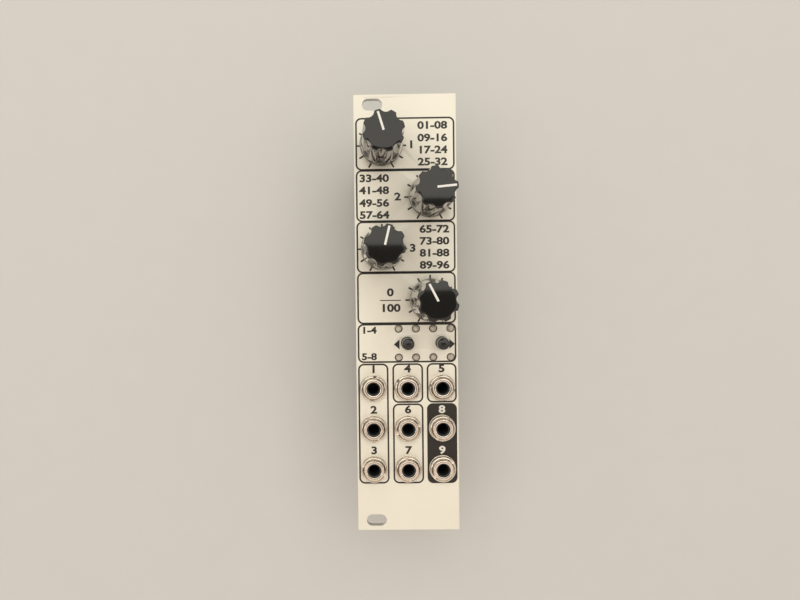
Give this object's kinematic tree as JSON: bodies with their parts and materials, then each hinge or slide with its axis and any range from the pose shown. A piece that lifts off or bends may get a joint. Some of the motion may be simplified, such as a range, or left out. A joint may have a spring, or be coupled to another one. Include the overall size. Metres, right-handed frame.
{
  "type": "modular synthesizer effects module",
  "caption": "Narrow rack-mounted synthesizer effects module with a silver panel, fluted knobs, sockets, small lamps, push buttons and two stacked circuit boards behind.",
  "frame": {"origin": "bottom centre of the bounding box: the plane under the rearmost parts, below the panel's middle", "axes": "+Z out of the front panel, +Y towards the panel's top edge, +X towards the panel's right edge"},
  "size_m": [0.03, 0.1284, 0.0512],
  "materials": {
    "panel_metal": "satin, black print",
    "knob_plastic": "glossy black",
    "shaft_brass": "turned",
    "pot_case": "moulded",
    "nickel": "bright nickel",
    "socket_plastic": "moulded",
    "lamp_lens": "clear, unlit",
    "button_plastic": "satin black",
    "board_resin": "solder resist",
    "link_plastic": "moulded",
    "chip_resin": "moulded",
    "can_sleeve": "shrunk sleeve"
  },
  "bodies": {
    "module": {"front_panel": "panel_metal", "pot_body_1": "pot_case", "pot_body_2": "pot_case", "pot_body_3": "pot_case", "pot_body_4": "pot_case", "pot_nut_1": "nickel", "pot_nut_2": "nickel", "pot_nut_3": "nickel", "pot_nut_4": "nickel", "jack_1": "socket_plastic", "jack_2": "socket_plastic", "jack_3": "socket_plastic", "jack_4": "socket_plastic", "jack_5": "socket_plastic", "jack_6": "socket_plastic", "jack_7": "socket_plastic", "jack_8": "socket_plastic", "jack_9": "socket_plastic", "jack_nut_1": "nickel", "jack_nut_2": "nickel", "jack_nut_3": "nickel", "jack_nut_4": "nickel", "jack_nut_5": "nickel", "jack_nut_6": "nickel", "jack_nut_7": "nickel", "jack_nut_8": "nickel", "jack_nut_9": "nickel", "lamp_1": "lamp_lens", "lamp_2": "lamp_lens", "lamp_3": "lamp_lens", "lamp_4": "lamp_lens", "lamp_5": "lamp_lens", "lamp_6": "lamp_lens", "lamp_7": "lamp_lens", "lamp_8": "lamp_lens", "switch_left": "socket_plastic", "switch_right": "socket_plastic", "front_board": "board_resin", "rear_board": "board_resin", "link_pins_top": "link_plastic", "link_pins_bottom": "link_plastic", "link_socket_top": "link_plastic", "link_socket_bottom": "link_plastic", "power_header": "link_plastic", "power_pins": "link_plastic", "processor": "chip_resin", "converter": "chip_resin", "regulator": "chip_resin", "capacitor_left": "can_sleeve", "capacitor_right": "can_sleeve"},
    "knob_1_group": {"knob_1": "knob_plastic", "pot_shaft_1": "shaft_brass"},
    "knob_2_group": {"knob_2": "knob_plastic", "pot_shaft_2": "shaft_brass"},
    "knob_3_group": {"knob_3": "knob_plastic", "pot_shaft_3": "shaft_brass"},
    "knob_4_group": {"knob_4": "knob_plastic", "pot_shaft_4": "shaft_brass"},
    "button_left_group": {"button_left": "button_plastic"},
    "button_right_group": {"button_right": "button_plastic"}
  },
  "joints": [
    {"name": "knob_1_turn", "type": "hinge", "parent": "module", "child": "knob_1_group", "pos_m": [-0.007, 0.04925, 0.0332], "axis": [0, 0, -1], "range_deg": [-133.2, 166.8]},
    {"name": "knob_2_turn", "type": "hinge", "parent": "module", "child": "knob_2_group", "pos_m": [0.007, 0.03413, 0.0332], "axis": [0, 0, -1], "range_deg": [-234.4, 65.6]},
    {"name": "knob_3_turn", "type": "hinge", "parent": "module", "child": "knob_3_group", "pos_m": [-0.007, 0.01901, 0.0332], "axis": [0, 0, -1], "range_deg": [-163.9, 136.1]},
    {"name": "knob_4_turn", "type": "hinge", "parent": "module", "child": "knob_4_group", "pos_m": [0.007, 0.00389, 0.0332], "axis": [0, 0, -1], "range_deg": [-123.2, 176.8]},
    {"name": "button_left_press", "type": "slide", "parent": "module", "child": "button_left_group", "axis": [0, 0, -1], "range_m": [0, 0.00025], "stiffness_N_per_m": 4000},
    {"name": "button_right_press", "type": "slide", "parent": "module", "child": "button_right_group", "axis": [0, 0, -1], "range_m": [0, 0.00025], "stiffness_N_per_m": 4000}
  ]
}
